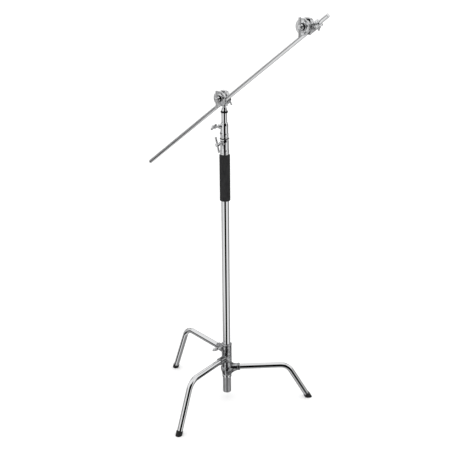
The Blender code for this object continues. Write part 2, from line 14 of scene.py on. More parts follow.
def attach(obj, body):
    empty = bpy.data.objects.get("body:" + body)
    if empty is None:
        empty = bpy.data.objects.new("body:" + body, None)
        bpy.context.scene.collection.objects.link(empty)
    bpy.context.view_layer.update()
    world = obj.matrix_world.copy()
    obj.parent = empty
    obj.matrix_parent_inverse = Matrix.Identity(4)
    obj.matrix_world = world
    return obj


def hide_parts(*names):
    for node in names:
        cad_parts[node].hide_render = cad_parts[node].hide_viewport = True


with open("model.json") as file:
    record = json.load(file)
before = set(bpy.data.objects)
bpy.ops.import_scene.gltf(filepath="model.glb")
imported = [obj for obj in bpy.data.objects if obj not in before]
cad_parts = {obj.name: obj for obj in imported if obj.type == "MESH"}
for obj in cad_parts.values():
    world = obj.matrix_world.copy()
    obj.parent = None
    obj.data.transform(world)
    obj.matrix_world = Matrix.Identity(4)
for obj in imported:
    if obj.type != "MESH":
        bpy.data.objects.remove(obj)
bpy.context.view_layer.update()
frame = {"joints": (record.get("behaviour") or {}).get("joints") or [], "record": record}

RECORD = frame["record"]
BODY = {node: body for body, nodes in RECORD["behaviour"]["bodies"].items() for node in nodes}
SLOT = {part["node"]: part["material_slot"] for part in RECORD["subparts"]}
JOINT = {joint["name"]: joint for joint in frame["joints"]}

# ---------------------------------------------------------------- dimensions (metres)
GAP = 0.0003
COLUMN_R, RISER_2_R, RISER_3_R = 0.0175, 0.0150, 0.0125
TUBE_WALL = 0.0015
BASE_TUBE_R, BASE_TUBE_BORE = 0.0192, 0.0179
LEG_R, LEG_WALL = 0.0127, 0.0020
ARM_R, ARM_WALL = 0.0080, 0.0015
BASE_TUBE_Z = (0.036, 0.252)
COLUMN_Z = (0.0565, 1.238)
RISER_2_Z = (0.090, 1.306)
RISER_3_Z = (0.125, 1.389)
GRIP_Z, GRIP_R = (0.990, 1.1985), 0.0233
LOWER_COLLAR_Z, LOWER_COLLAR_R = (1.1995, 1.2680), 0.0200
UPPER_COLLAR_Z, UPPER_COLLAR_R = (1.2715, 1.3390), 0.0180
UPPER_LEG, MIDDLE_LEG, LOWER_LEG = (0.2463, 132.0), (0.2123, -124.0), (0.1601, -1.0)
LEG_RISE = 2.3  # degrees
KNEE_REACH, FOOT_REACH, KNEE_BEND_R = 0.285, 0.387, 0.060
LEG_START = 0.0265
TUBE_END_CLEAR = 0.006  # the leg tube's lowest point stops this far above the floor
KNOB_AZIMUTH = -155.0  # degrees
CLAMP_BAR_R, SHOE_LENGTH, SCREW_HOLE_R = 0.0045, 0.0030, 0.0043
RECEIVER_BAR_R, RECEIVER_BAR_AT, HANDLE_BAR_R = 0.0036, 0.0355, 0.0048
SOCKET_END, SOCKET_R = 0.062, 0.0159
HUB_R, HUB_BORE = 0.0235, 0.0196
ARM_HEADING, ARM_SLOPE = -40.0, 37.7  # degrees
ARM_LENGTH, ARM_REACH = 1.200, 0.6425
SECOND_HEAD_FROM_END = 0.091
SLEEVE_TO_AXLE = 0.015
SLEEVE_R, SLEEVE_BELOW, SLEEVE_ABOVE = 0.0145, 0.040, 0.022
RECEIVER_BORE = 0.0084
DISC_R = 0.03175
FLANGE_N = (0.009, 0.020)
JAW_THICK = 0.0090
ROD_BELOW_AXLE = 0.0160
AXLE_R = 0.00475
GROOVES = ((0.0065, -ROD_BELOW_AXLE, 0), (0.0042, ROD_BELOW_AXLE, 0), (0.0030, -0.0155, 90),
           (0.0020, 0.0155, 90))
ROD_FROM_FACE = (ARM_R + GAP) * math.sqrt(2) - GROOVES[0][0]
INNER_FACE = FLANGE_N[1] + 2 * GAP + JAW_THICK
OUTER_FACE = INNER_FACE + 2 * ROD_FROM_FACE
ROD_N = INNER_FACE + ROD_FROM_FACE
LENS, SENSOR = 71.98, 36.0  # millimetres
CAMERA_FROM_AXIS, CAMERA_AIM_Z, CAMERA_ROLL = (-0.00169, -3.72895, 2.28000), 0.87400, -0.6


# ---------------------------------------------------------------- frames
def shift(x=0.0, y=0.0, z=0.0):
    return Matrix.Translation((x, y, z))


def spin(degrees, axis):
    return Matrix.Rotation(math.radians(degrees), 4, axis)


def outwards(azimuth, z=0.0):
    """Z runs outwards from the column at that azimuth and height."""
    return shift(z=z) @ spin(azimuth, "Z") @ spin(90, "Y")


FORWARDS = spin(90, "X")  # Z runs along -Y, out through a head's jaws
UP_SHEET = spin(90 - LEG_RISE, "Y")  # Z runs along a leg, from the leg's own frame
column_x, column_y, _ = JOINT["middle_leg_swing"]["pos_m"]
STAND = shift(column_x, column_y, 0)
HEADS = {"first_head": STAND @ shift(z=JOINT["first_head_pan"]["pos_m"][2]) @ spin(ARM_HEADING, "Z")}
JAWS = {"first_head": HEADS["first_head"] @ shift(x=SLEEVE_TO_AXLE) @ spin(-ARM_SLOPE, "Y")}
ARM = JAWS["first_head"] @ shift(y=-ROD_N, z=-ROD_BELOW_AXLE) @ spin(90, "Y")
HEADS["second_head"] = ARM @ shift(z=ARM_REACH - SECOND_HEAD_FROM_END) @ spin(180, "Y")
JAWS["second_head"] = HEADS["second_head"] @ shift(x=SLEEVE_TO_AXLE) @ spin(ARM_SLOPE, "Y")


# ---------------------------------------------------------------- surfaces from rings
class Shape:
    """Points and faces in a piece's own frame."""

    def __init__(self, points, faces):
        self.points, self.faces = np.asarray(points, float), faces

    def at(self, matrix):
        turn = np.array(matrix)
        return Shape(self.points @ turn[:3, :3].T + turn[:3, 3], self.faces)

    def __add__(self, other):
        base = len(self.points)
        moved = [[corner + base for corner in face] for face in other.faces]
        return Shape(np.vstack((self.points, other.points)), list(self.faces) + moved)


def skin(rings, closed=False):
    """Joins rings of points into a surface; a ring of one point closes an end."""
    points, spans = [], []
    for ring in rings:
        spans.append(range(len(points), len(points) + len(ring)))
        points += list(ring)
    faces = []
    for near, far in zip(spans, spans[1:] + (spans[:1] if closed else [])):
        sides = max(len(near), len(far))
        for side in range(sides):
            following = (side + 1) % sides
            if len(near) == 1:
                faces.append([near[0], far[following], far[side]])
            elif len(far) == 1:
                faces.append([near[side], near[following], far[0]])
            else:
                faces.append([near[side], near[following], far[following], far[side]])
    return Shape(points, faces)


def rounded(outline, radius, closed=False, steps=4):
    """The outline with arcs for corners, and guard points beside them that keep flats flat.

    A point may carry its own radius.
    """
    made, count = [], len(outline)
    for index, point in enumerate(outline):
        here = Vector(point[:2])
        wanted = point[2] if len(point) > 2 else radius
        if wanted == 0 or (not closed and index in (0, count - 1)):
            made.append(tuple(here))
            continue
        back = Vector(outline[index - 1][:2]) - here
        ahead = Vector(outline[(index + 1) % count][:2]) - here
        room = 0.45 * min(back.length, ahead.length)
        back.normalize()
        ahead.normalize()
        half = back.angle(ahead) / 2
        if half > math.radians(88):
            made.append(tuple(here))
            continue
        reach = min(wanted / math.tan(half), room)
        centre = here + (back + ahead).normalized() * (reach / math.cos(half))
        start, end = here + back * reach - centre, here + ahead * reach - centre
        sweep = start.angle(end)
        arc = [(start * math.sin((1 - t) * sweep) + end * math.sin(t * sweep)) / math.sin(sweep) + centre
               for t in (step / steps for step in range(steps + 1))]
        guard = min(reach * 1.6, room * 1.05)
        made += [tuple(p) for p in (here + back * guard, *arc, here + ahead * guard)]
    return made


def lathe(outline, sides=96, closed=False):
    """A surface of revolution about Z from an (r, z) outline."""
    angles = np.arange(sides) * math.tau / sides
    circle = np.stack((np.cos(angles), np.sin(angles)), axis=1)
    rings = []
    for radius, z in outline:
        if radius < 1e-7:
            rings.append([(0.0, 0.0, z)])
        else:
            rings.append([(radius * c, radius * s, z) for c, s in circle])
    return skin(rings, closed)


def tube(outer, bore, low, high, lip=0.0004, sides=128):
    outline = [(bore, low), (outer, low), (outer, high), (bore, high)]
    return lathe(rounded(outline, lip, closed=True, steps=3), sides, closed=True)


def rod_shape(radius, low, high, lip=0.0008, sides=48):
    return lathe(rounded([(0, low), (radius, low), (radius, high), (0, high)], lip), sides)


def plug(flange_r, stub_r, low, shoulder, high, lip=0.0010):
    outline = [(0, low), (flange_r, low, lip), (flange_r, shoulder, 0.0002), (stub_r, shoulder, 0.0002),
               (stub_r, high, 0.0008), (0, high)]
    return lathe(rounded(outline, lip), 96)


# ---------------------------------------------------------------- surfaces from distance fields
def seen_from(points, place):
    """The points in the frame of place."""
    back = np.array(place.inverted())
    return points @ back[:3, :3].T + back[:3, 3]


def rod(points, radius, low, high, edge=0.0):
    """Distance to a round bar on Z with rounded edges."""
    radial = np.hypot(points[:, 0], points[:, 1]) - (radius - edge)
    axial = np.abs(points[:, 2] - (low + high) / 2) - ((high - low) / 2 - edge)
    inner = np.minimum(np.maximum(radial, axial), 0)
    return inner + np.hypot(np.maximum(radial, 0), np.maximum(axial, 0)) - edge


def polygon(u, v, outline):
    """Signed distance to a closed outline."""
    best, inside = np.full(u.shape, 1.0), np.zeros(u.shape, bool)
    for (ax, ay), (bx, by) in zip(outline, outline[1:] + outline[:1]):
        ex, ey, wx, wy = bx - ax, by - ay, u - ax, v - ay
        share = np.clip((wx * ex + wy * ey) / max(ex * ex + ey * ey, 1e-16), 0, 1)
        best = np.minimum(best, (wx - ex * share) ** 2 + (wy - ey * share) ** 2)
        if ey:
            inside ^= ((ay > v) != (by > v)) & (u < ex * (v - ay) / ey + ax)
    distance = np.sqrt(best)
    return np.where(inside, -distance, distance)


def turned(points, outline, radius=0.0010):
    """Distance to a solid of revolution whose outline starts and ends on the axis."""
    arcs = rounded(outline, radius, steps=3)
    arcs = [(-0.05, arcs[0][1]), *arcs[1:-1], (-0.05, arcs[-1][1])]
    return polygon(np.hypot(points[:, 0], points[:, 1]), points[:, 2], arcs)


def blend(a, b, k):
    """Union with a fillet of about k."""
    share = np.clip(0.5 + 0.5 * (b - a) / k, 0, 1)
    return b * (1 - share) + a * share - k * share * (1 - share)


def carve(a, b, k=0.0008):
    """a less b, with the edge broken by about k."""
    return -blend(-a, b, k)


def grid(axes):
    return np.stack(np.meshgrid(*axes, indexing="ij"), axis=-1).reshape(-1, 3)


def sculpt(field, low, high, step):
    """Meshes the zero surface of a distance field: surface nets, then drawn on to the surface."""
    low, high, block = np.array(low, float), np.array(high, float), 6
    blocks = np.ceil((high - low) / (step * block)).astype(int)
    coarse_axes = [low[a] + step * (block * np.arange(blocks[a]) + (block - 1) / 2) for a in range(3)]
    coarse = field(grid(coarse_axes)).reshape(blocks)
    values, near = coarse, np.abs(coarse) < 1.25 * step * block
    for axis in range(3):
        values, near = values.repeat(block, axis), near.repeat(block, axis)
    where = np.argwhere(near)
    values[near] = field(low + step * where)
    inside = values < 0
    size = np.array(values.shape)
    cells, spots, quads = [], [], []
    for axis in range(3):
        first = [slice(None)] * 3
        second = [slice(None)] * 3
        first[axis], second[axis] = slice(None, -1), slice(1, None)
        start = np.argwhere(inside[tuple(first)] != inside[tuple(second)])
        stop = start.copy()
        stop[:, axis] += 1
        a, b = values[tuple(start.T)], values[tuple(stop.T)]
        spot = start.astype(float)
        spot[:, axis] += a / (a - b)
        ring = []
        for u, v in ((0, 0), (-1, 0), (-1, -1), (0, -1)):
            cell = start.copy()
            cell[:, (axis + 1) % 3] += u
            cell[:, (axis + 2) % 3] += v
            ring.append(cell @ np.array((size[1] * size[2], size[2], 1)))
            cells.append(ring[-1])
            spots.append(spot)
        ring = np.stack(ring, axis=1)
        quads.append(np.where((a < 0)[:, None], ring, ring[:, ::-1]))
    cells, spots = np.concatenate(cells), np.concatenate(spots)
    names, index = np.unique(cells, return_inverse=True)
    share = np.bincount(index)
    points = np.stack([np.bincount(index, spots[:, a]) / share for a in range(3)], axis=1) * step + low
    faces = np.searchsorted(names, np.concatenate(quads))
    reach = 0.1 * step
    for _ in range(3):
        here = field(points)
        slope = np.stack([(field(points + reach * np.eye(3)[a]) - field(points - reach * np.eye(3)[a]))
                          / (2 * reach) for a in range(3)], axis=1)
        move = -(here / np.maximum((slope ** 2).sum(axis=1), 0.2))[:, None] * slope
        points += np.clip(move, -0.4 * step, 0.4 * step)
    return Shape(points, faces.tolist())


# ---------------------------------------------------------------- materials
class Look:
    """A Principled material and short ways to add nodes to it."""

    def __init__(self, name, colour, roughness, metallic, **settings):
        self.material = bpy.data.materials.new(name)
        self.material.use_nodes = True
        self.tree = self.material.node_tree
        self.shader = self.tree.nodes["Principled BSDF"]
        values = {"Base Color": (*colour, 1.0), "Roughness": roughness, "Metallic": metallic, **settings}
        for socket, value in values.items():
            self.shader.inputs[socket].default_value = value
        self.height = None

    def node(self, kind, inputs=None, **settings):
        made = self.tree.nodes.new(kind)
        for key, value in settings.items():
            setattr(made, key, value)
        for key, value in (inputs or {}).items():
            if isinstance(value, bpy.types.NodeSocket):
                self.tree.links.new(value, made.inputs[key])
            else:
                made.inputs[key].default_value = value
        return made

    def own(self, scale):
        """The piece's own coordinates, stretched by scale."""
        place = self.node("ShaderNodeAttribute", attribute_name="own")
        inputs = {0: place.outputs["Vector"], 1: scale}
        return self.node("ShaderNodeVectorMath", inputs, operation="MULTIPLY").outputs[0]

    def noise(self, scale, detail=2.0, roughness=0.5):
        inputs = {"Vector": self.own(scale), "Scale": 1.0, "Detail": detail, "Roughness": roughness}
        return self.node("ShaderNodeTexNoise", inputs).outputs["Fac"]

    def spread(self, value, low, high, start=0.3, end=0.7):
        """Maps a value from start..end to low..high."""
        made = self.node("ShaderNodeMapRange", {"Value": value, "From Min": start, "From Max": end,
                                                "To Min": low, "To Max": high})
        return made.outputs["Result"]

    def sum(self, a, b, operation="ADD"):
        return self.node("ShaderNodeMath", {0: a, 1: b}, operation=operation).outputs[0]

    def mix(self, share, a, b):
        made = self.node("ShaderNodeMix", data_type="RGBA")
        self.tree.links.new(share, made.inputs["Factor"])
        for socket, value in ((6, a), (7, b)):
            if isinstance(value, bpy.types.NodeSocket):
                self.tree.links.new(value, made.inputs[socket])
            else:
                made.inputs[socket].default_value = (*value, 1.0)
        return made.outputs[2]

    def to(self, socket, value):
        self.tree.links.new(value, self.shader.inputs[socket])

    def bump(self, height, distance, strength=1.0):
        """Adds a layer of relief; distance is the height of a step from 0 to 1."""
        inputs = {"Height": height, "Distance": distance, "Strength": strength}
        if self.height is not None:
            inputs["Normal"] = self.height
        self.height = self.node("ShaderNodeBump", inputs).outputs["Normal"]
        self.to("Normal", self.height)


def polished_steel():
    look = Look("polished_steel", (0.86, 0.865, 0.875), 0.04, 1.0)
    smudge = look.noise((22, 22, 9), 3.0, 0.6)
    fine = look.noise((260, 260, 2600), 2.0, 0.6)
    look.to("Roughness", look.sum(look.spread(smudge, 0.022, 0.060, 0.42, 0.75),
                                  look.spread(fine, 0.0, 0.022, 0.35, 0.75)))
    look.to("Base Color", look.mix(look.spread(smudge, 0.0, 1.0),
                                   (0.875, 0.88, 0.89), (0.83, 0.835, 0.845)))
    look.bump(look.noise((40, 40, 7), 1.0), 0.00003)
    look.bump(fine, 0.0000022)
    return look.material


def cast_chrome():
    look = Look("cast_chrome", (0.82, 0.825, 0.835), 0.10, 1.0)
    patch = look.noise((70, 70, 70), 3.0, 0.6)
    look.to("Roughness", look.spread(patch, 0.035, 0.10, 0.35, 0.7))
    look.to("Base Color", look.mix(look.spread(patch, 0.0, 1.0),
                                   (0.84, 0.845, 0.855), (0.77, 0.775, 0.785)))
    look.bump(look.noise((230, 230, 230), 2.0), 0.00010)
    look.bump(look.noise((1100, 1100, 1100), 2.0, 0.7), 0.000012)
    return look.material


def rough_chrome_painted_dark():
    """The base castings' rougher chrome, its colour painted darker and given darker patches to stand in
    for the dark surroundings they mirror.
    """
    # Painted reflection: the low base colour and the darker patches stand in for dark surroundings
    # mirrored in the castings
    look = Look("rough_chrome_painted_dark", (0.52, 0.525, 0.535), 0.16, 1.0)
    patch = look.noise((85, 85, 85), 3.0, 0.65)
    look.to("Roughness", look.spread(patch, 0.08, 0.22, 0.35, 0.7))
    look.to("Base Color", look.mix(look.spread(patch, 0.0, 1.0, 0.4, 0.6), (0.50, 0.505, 0.515),
                                   (0.20, 0.202, 0.207)))
    look.bump(look.noise((190, 190, 190), 3.0, 0.6), 0.00035)
    look.bump(look.noise((1100, 1100, 1100), 2.0, 0.7), 0.000015)
    return look.material


def satin_steel():
    look = Look("satin_steel", (0.50, 0.505, 0.515), 0.38, 1.0)
    rings = look.noise((60, 60, 3400), 2.0, 0.7)
    patch = look.noise((45, 45, 30), 3.0, 0.6)
    look.to("Roughness", look.sum(look.spread(rings, 0.28, 0.40), look.spread(patch, 0.0, 0.10)))
    look.to("Base Color", look.mix(look.spread(patch, 0.0, 1.0),
                                   (0.54, 0.545, 0.555), (0.43, 0.435, 0.44)))
    look.bump(rings, 0.00002)
    return look.material


def dark_steel():
    look = Look("dark_steel", (0.06, 0.06, 0.065), 0.34, 1.0)
    patch = look.noise((160, 160, 160), 3.0, 0.6)
    look.to("Roughness", look.spread(patch, 0.26, 0.46))
    look.to("Base Color", look.mix(look.spread(patch, 0.0, 1.0),
                                   (0.045, 0.045, 0.048), (0.02, 0.02, 0.021)))
    look.bump(look.noise((1500, 1500, 1500), 1.0), 0.00002)
    return look.material


def brass():
    look = Look("brass", (0.72, 0.52, 0.22), 0.3, 1.0)
    rings = look.noise((80, 80, 3000), 2.0, 0.7)
    look.to("Roughness", look.spread(rings, 0.22, 0.38))
    look.bump(rings, 0.00001)
    return look.material


def black_foam():
    look = Look("black_foam", (0.02, 0.02, 0.021), 0.85, 0.0, **{"Specular IOR Level": 0.35})
    cells = look.node("ShaderNodeTexVoronoi", {"Vector": look.own((1250, 1250, 1250)), "Scale": 1.0},
                      feature="SMOOTH_F1").outputs["Distance"]
    pores = look.spread(cells, 0.0, 1.0, 0.1, 0.75)
    cloud = look.noise((55, 55, 40), 4.0, 0.65)
    look.to("Base Color", look.mix(look.spread(cloud, 0.0, 1.0),
                                   (0.010, 0.010, 0.011), (0.022, 0.022, 0.023)))
    look.to("Roughness", look.spread(pores, 0.74, 0.95, 0.0, 1.0))
    look.bump(look.noise((420, 420, 420), 3.0, 0.6), 0.00018)
    look.bump(pores, 0.00016)
    return look.material


def black_rubber():
    look = Look("black_rubber", (0.018, 0.018, 0.019), 0.6, 0.0, **{"Specular IOR Level": 0.4})
    dust = look.noise((120, 120, 60), 4.0, 0.7)
    look.to("Base Color", look.mix(look.spread(dust, 0.0, 1.0, 0.45, 0.8), (0.006, 0.006, 0.007),
                                   (0.022, 0.021, 0.020)))
    look.to("Roughness", look.spread(dust, 0.48, 0.74))
    look.bump(look.noise((1600, 1600, 1600), 2.0, 0.6), 0.00004)
    return look.material


def black_nylon():
    look = Look("black_nylon", (0.026, 0.026, 0.028), 0.42, 0.0)
    grain = look.noise((1300, 1300, 1300), 2.0, 0.6)
    look.to("Roughness", look.spread(grain, 0.36, 0.52))
    look.to("Base Color", look.mix(look.spread(look.noise((90, 90, 90)), 0.0, 1.0), (0.013, 0.013, 0.014),
                                   (0.022, 0.022, 0.023)))
    look.bump(grain, 0.00002)
    return look.material


LOOKS = {make.__name__: make() for make in (
    polished_steel, cast_chrome, rough_chrome_painted_dark, satin_steel, dark_steel, brass, black_foam,
    black_rubber, black_nylon)}


# ---------------------------------------------------------------- pieces
def piece(node, shape, place, sharp=True, look=None):
    """Puts a shape in place of a CAD node: its slot and its body are the node's own."""
    faces = shape.faces
    mesh = bpy.data.meshes.new(f"{node}_fine")
    mesh.from_pydata(shape.points.tolist(), [], faces)
    own = mesh.attributes.new("own", "FLOAT_VECTOR", "POINT")
    own.data.foreach_set("vector", shape.points.astype(np.float32).ravel())
    mesh.transform(place)
    mesh.update()
    mesh.shade_smooth()
    if sharp:
        mesh.set_sharp_from_angle(angle=math.radians(38))
    mesh.materials.append(LOOKS[look or SLOT[node]])
    made = bpy.data.objects.new(f"{node}_fine", mesh)
    bpy.context.scene.collection.objects.link(made)
    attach(made, BODY[node])
    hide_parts(node)
    return made


def leg_outline(height):
    """Start, knee and floor point of a leg's centre line, in its XZ plane."""
    rise = math.tan(math.radians(LEG_RISE))
    return (Vector((LEG_START, LEG_START * rise)), Vector((KNEE_REACH, KNEE_REACH * rise)),
            Vector((FOOT_REACH, -height)))


def leg_tube(height, sides=72, steps=28):
    """A bent tube, a little flattened round the knee as a pressed bend is."""
    start, knee, floor = leg_outline(height)
    along, down = (knee - start).normalized(), (floor - knee).normalized()
    bend = along.angle(down)
    tangent = KNEE_BEND_R * math.tan(bend / 2)
    end = floor - down * ((TUBE_END_CLEAR + LEG_R * down.x) / -down.y)
    corner = knee - along * tangent
    centre = corner + Vector((along.y, -along.x)) * KNEE_BEND_R
    stations = [(start, 0.0, 0.0), (start.lerp(corner, 0.97), 0.0, 0.0)]
    for step in range(steps + 1):
        share = step / steps
        at = centre + Matrix.Rotation(-bend * share, 2) @ (corner - centre)
        stations.append((at, bend * share, math.sin(math.pi * share) ** 1.5))
    leaving = knee + down * tangent
    stations += [(leaving.lerp(end, 0.03), bend, 0.0), (end, bend, 0.0)]
    angles = np.arange(sides) * math.tau / sides
    rings = {"out": [], "in": []}
    for at, turn, squeeze in stations:
        pitch = math.pi / 2 - math.radians(LEG_RISE) + turn
        across, forward = np.array((0.0, 1.0, 0.0)), np.array((math.cos(pitch), 0.0, -math.sin(pitch)))
        for side, radius in (("out", LEG_R), ("in", LEG_R - LEG_WALL)):
            flat = np.outer(np.cos(angles), forward) * radius * (1 - 0.035 * squeeze)
            wide = np.outer(np.sin(angles), across) * radius * (1 + 0.02 * squeeze)
            rings[side].append(np.array((at.x, 0.0, at.y)) + flat + wide)
    return skin(rings["out"] + rings["in"][::-1], closed=True)


def foot_cap(height):
    """A ribbed rubber cup over the tube's end, worn flat where it stands."""
    _, knee, floor = leg_outline(height)
    down = (floor - knee).normalized()
    reach, drop = down.x, -down.y
    end = (TUBE_END_CLEAR + LEG_R * reach) / drop
    outer = 0.0147
    outline = [(0, -0.020), (outer, -0.020), (outer, end + 0.002), (outer - 0.0005, end + 0.003)]
    ridge = end + 0.0035
    outline += [(outer - 0.0005, ridge - 0.0012), (outer, ridge - 0.0006), (outer, ridge + 0.0006),
                (outer - 0.0005, ridge + 0.0012)]
    outline += [(outer - 0.0005, 0.0180), (outer, 0.0186), (outer, 0.0200), (outer - 0.0010, 0.0210),
                (0, 0.0210)]

    def field(points):
        cup = carve(turned(points, outline, 0.0004), rod(points, 0.0132, end - GAP, 0.05), 0.0006)
        return -blend(-cup, points @ np.array((reach, 0, drop)), 0.0012)

    return sculpt(field, (-0.0175, -0.0175, -0.016), (0.0175, 0.0175, 0.0245), 0.00045), reach


def leg(name, place_on_column):
    height, azimuth = place_on_column
    place = STAND @ shift(z=height) @ spin(azimuth, "Z")
    piece(f"{name}_leg_tube", leg_tube(height), place)
    cap, reach = foot_cap(height)
    tilt = spin(-math.degrees(math.asin(reach)), "Y")
    piece(f"{name}_foot_cap", cap, STAND @ spin(azimuth, "Z") @ shift(x=FOOT_REACH) @ tilt, sharp=False)


def leg_casting(hub, rib, bores, boss=None):
    """The field of a hub round the base tube with one ribbed leg socket."""
    plate = rounded(rib, 0.004, closed=True)

    def field(points):
        leg_points = seen_from(points, UP_SHEET)
        made = turned(points, hub, 0.0014)
        web = polygon(points[:, 0], points[:, 2], plate)
        web = np.maximum(web, np.abs(points[:, 1]) - 0.0045)
        made = blend(made, rod(leg_points, SOCKET_R, 0.010, SOCKET_END, 0.0014), 0.0050)
        made = blend(made, web, 0.0045)
        made = blend(made, rod(leg_points, SOCKET_R + 0.0012, SOCKET_END - 0.011, SOCKET_END - 0.003,
                               0.0010), 0.0008)
        if boss:
            azimuth, z, radius, end, hole = boss
            local = seen_from(points, outwards(azimuth, z))
            made = blend(made, rod(local, radius, 0.010, end, 0.0012), 0.0032)
            made = carve(made, rod(local, hole, 0.010, end + 0.02), 0.0008)
        made = carve(made, rod(leg_points, LEG_R + 0.0005, LEG_START - 0.001, SOCKET_END + 0.01), 0.0010)
        for radius, low, high in bores:
            made = carve(made, rod(points, radius, low, high), 0.0010)
        return made

    low = min(z for _, z, *_ in hub) - 0.004
    high = max(z for _, z, *_ in hub) + 0.004
    return sculpt(field, (-0.031, -0.036, low), (0.068, 0.036, high), 0.00062)


def hex_screw(radius, low, high, across):
    """A set screw with a hexagon socket in its outer end."""

    def field(points):
        made = rod(points, radius, low, high, 0.0004)
        sides = [points[:, 0] * math.cos(a) + points[:, 1] * math.sin(a)
                 for a in (math.pi / 6, math.pi / 2, 5 * math.pi / 6)]
        key = np.max([np.abs(side) for side in sides], axis=0) - across / 2
        return carve(made, np.maximum(key, high - 0.55 * (high - low) - points[:, 2]), 0.0002)

    edge = radius + 0.0008
    return sculpt(field, (-edge, -edge, low - 0.0008), (edge, edge, high + 0.0008), 0.00013)


def helix(points, outer, pitch, depth):
    """Distance to an endless thread on Z."""
    angle = np.arctan2(points[:, 1], points[:, 0]) / math.tau
    phase = (points[:, 2] / pitch - angle) % 1.0
    return (np.hypot(points[:, 0], points[:, 1]) - outer + depth * np.abs(2 * phase - 1)) * 0.8


def clamp_screw(shoe_r, bar_at):
    """A threaded T-screw: thread, collar, and the hub that carries the bar."""
    tip = shoe_r + 2 * GAP + SHOE_LENGTH
    hub = [(0, bar_at - 0.0125), (0.0052, bar_at - 0.0125), (0.0078, bar_at - 0.0072),
           (0.0078, bar_at + 0.0052), (0.0062, bar_at + 0.0078), (0, bar_at + 0.0078)]

    def field(points):
        thread = np.maximum(helix(points, 0.0044, 0.00125, 0.00065), tip - points[:, 2])
        thread = np.maximum(thread, points[:, 2] - (bar_at - 0.010))
        made = np.minimum(thread, turned(points, hub, 0.0012))
        across = seen_from(points, shift(z=bar_at) @ spin(90, "Y"))
        return carve(made, rod(across, CLAMP_BAR_R + GAP, -0.02, 0.02), 0.0006)

    return sculpt(field, (-0.0092, -0.0092, tip - 0.001), (0.0092, 0.0092, bar_at + 0.009), 0.00026)


def cross_bar(length, radius):
    """A sliding bar whose upset ends keep it in its hub."""
    half = length / 2
    outline = [(0, -half), (radius + 0.0004, -half, 0.0016), (radius + 0.0004, -half + 0.0045, 0.0006),
               (radius, -half + 0.0060, 0.0008), (radius, half - 0.0060, 0.0008),
               (radius + 0.0004, half - 0.0045, 0.0006), (radius + 0.0004, half, 0.0016), (0, half)]
    return lathe(rounded(outline, 0.001), 48)


def t_screw(name, place, shoe_r, bar_at, length, tilt):
    """A clamp screw with its cross bar, and the brake shoe that it presses on a tube."""
    piece(f"{name}_screw", clamp_screw(shoe_r, bar_at), place @ spin(tilt, "Z"), sharp=False)
    across = place @ shift(z=bar_at) @ spin(tilt, "Z") @ spin(90, "Y")
    piece(f"{name}_bar", cross_bar(length, CLAMP_BAR_R), across)
    shoe = rod_shape(0.0039, shoe_r + GAP, shoe_r + GAP + SHOE_LENGTH, 0.0004)
    piece(f"{name}_brake_shoe", shoe, place)


